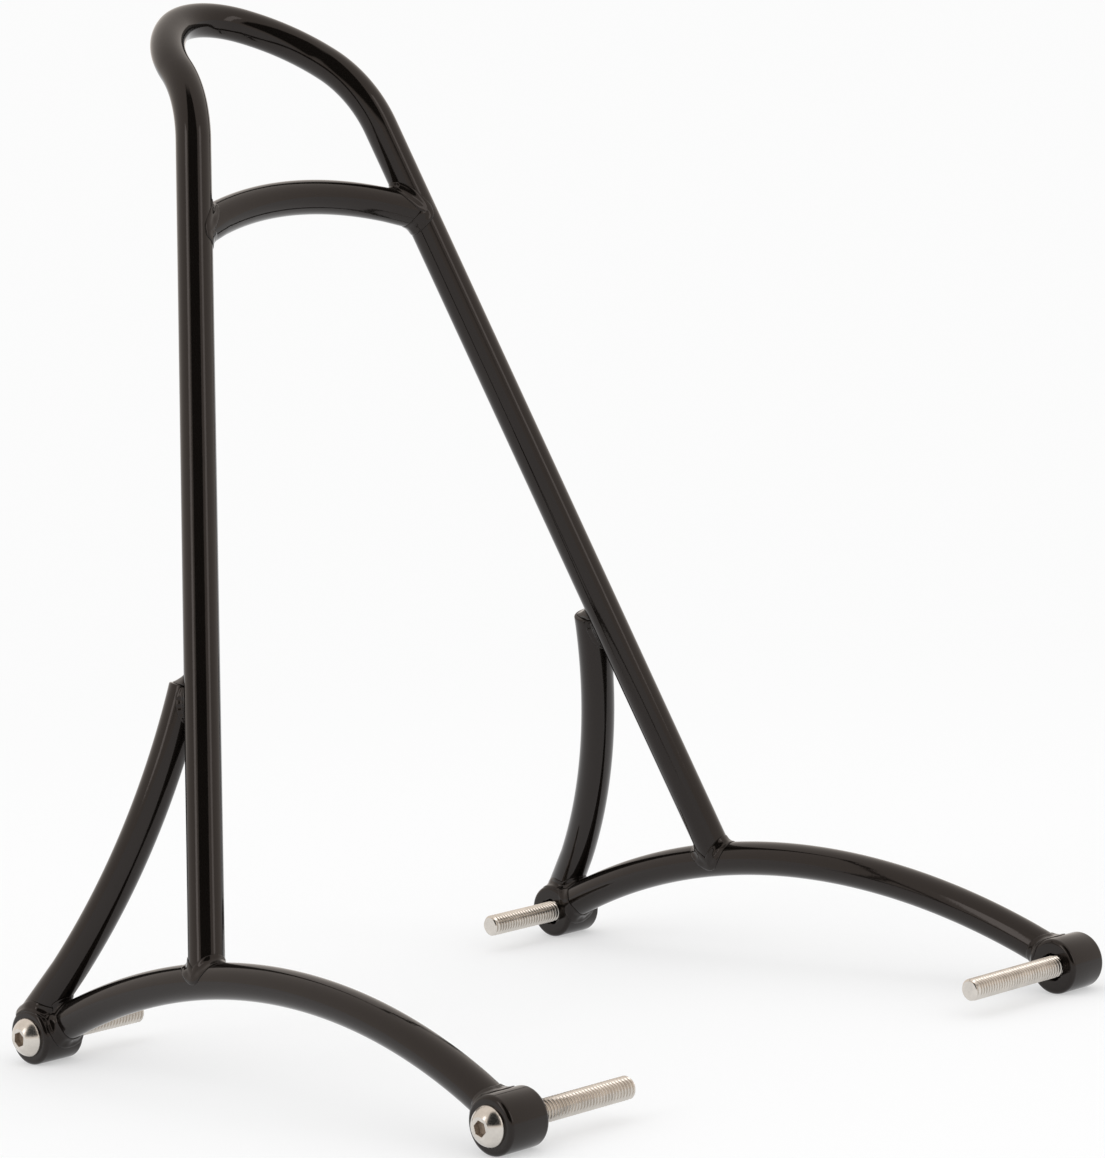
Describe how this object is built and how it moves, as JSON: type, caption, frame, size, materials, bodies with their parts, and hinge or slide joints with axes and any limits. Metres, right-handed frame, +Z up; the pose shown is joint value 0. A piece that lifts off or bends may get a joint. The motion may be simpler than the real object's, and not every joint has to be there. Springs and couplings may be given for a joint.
{
  "type": "sissy bar",
  "caption": "Motorcycle passenger backrest hoop of bent round bar on two arched side rails with rear braces, bolted to the fender struts through bosses.",
  "frame": {"origin": "middle of the footprint, level with the undersides of the four bosses", "axes": "+X to the machine's left, +Y to its rear, +Z up; the machine's front is -Y"},
  "size_m": [0.3082, 0.2917, 0.3688],
  "materials": {
    "frame": "gloss black powder coat",
    "welds": "gloss black powder coat over rippled weld",
    "screws": "bright stainless"
  },
  "bodies": {
    "root": {"hoop": "frame", "crossbar": "frame", "left_rail": "frame", "right_rail": "frame", "left_brace": "frame", "right_brace": "frame", "front_left_boss": "frame", "front_right_boss": "frame", "rear_left_boss": "frame", "rear_right_boss": "frame", "front_left_screw": "screws", "front_right_screw": "screws", "rear_left_screw": "screws", "rear_right_screw": "screws", "left_foot_weld": "welds", "right_foot_weld": "welds", "left_crossbar_weld": "welds", "right_crossbar_weld": "welds", "left_brace_top_weld": "welds", "right_brace_top_weld": "welds", "left_brace_foot_weld": "welds", "right_brace_foot_weld": "welds", "left_rail_rear_weld": "welds", "right_rail_rear_weld": "welds", "left_rail_front_weld": "welds", "right_rail_front_weld": "welds"}
  },
  "joints": []
}
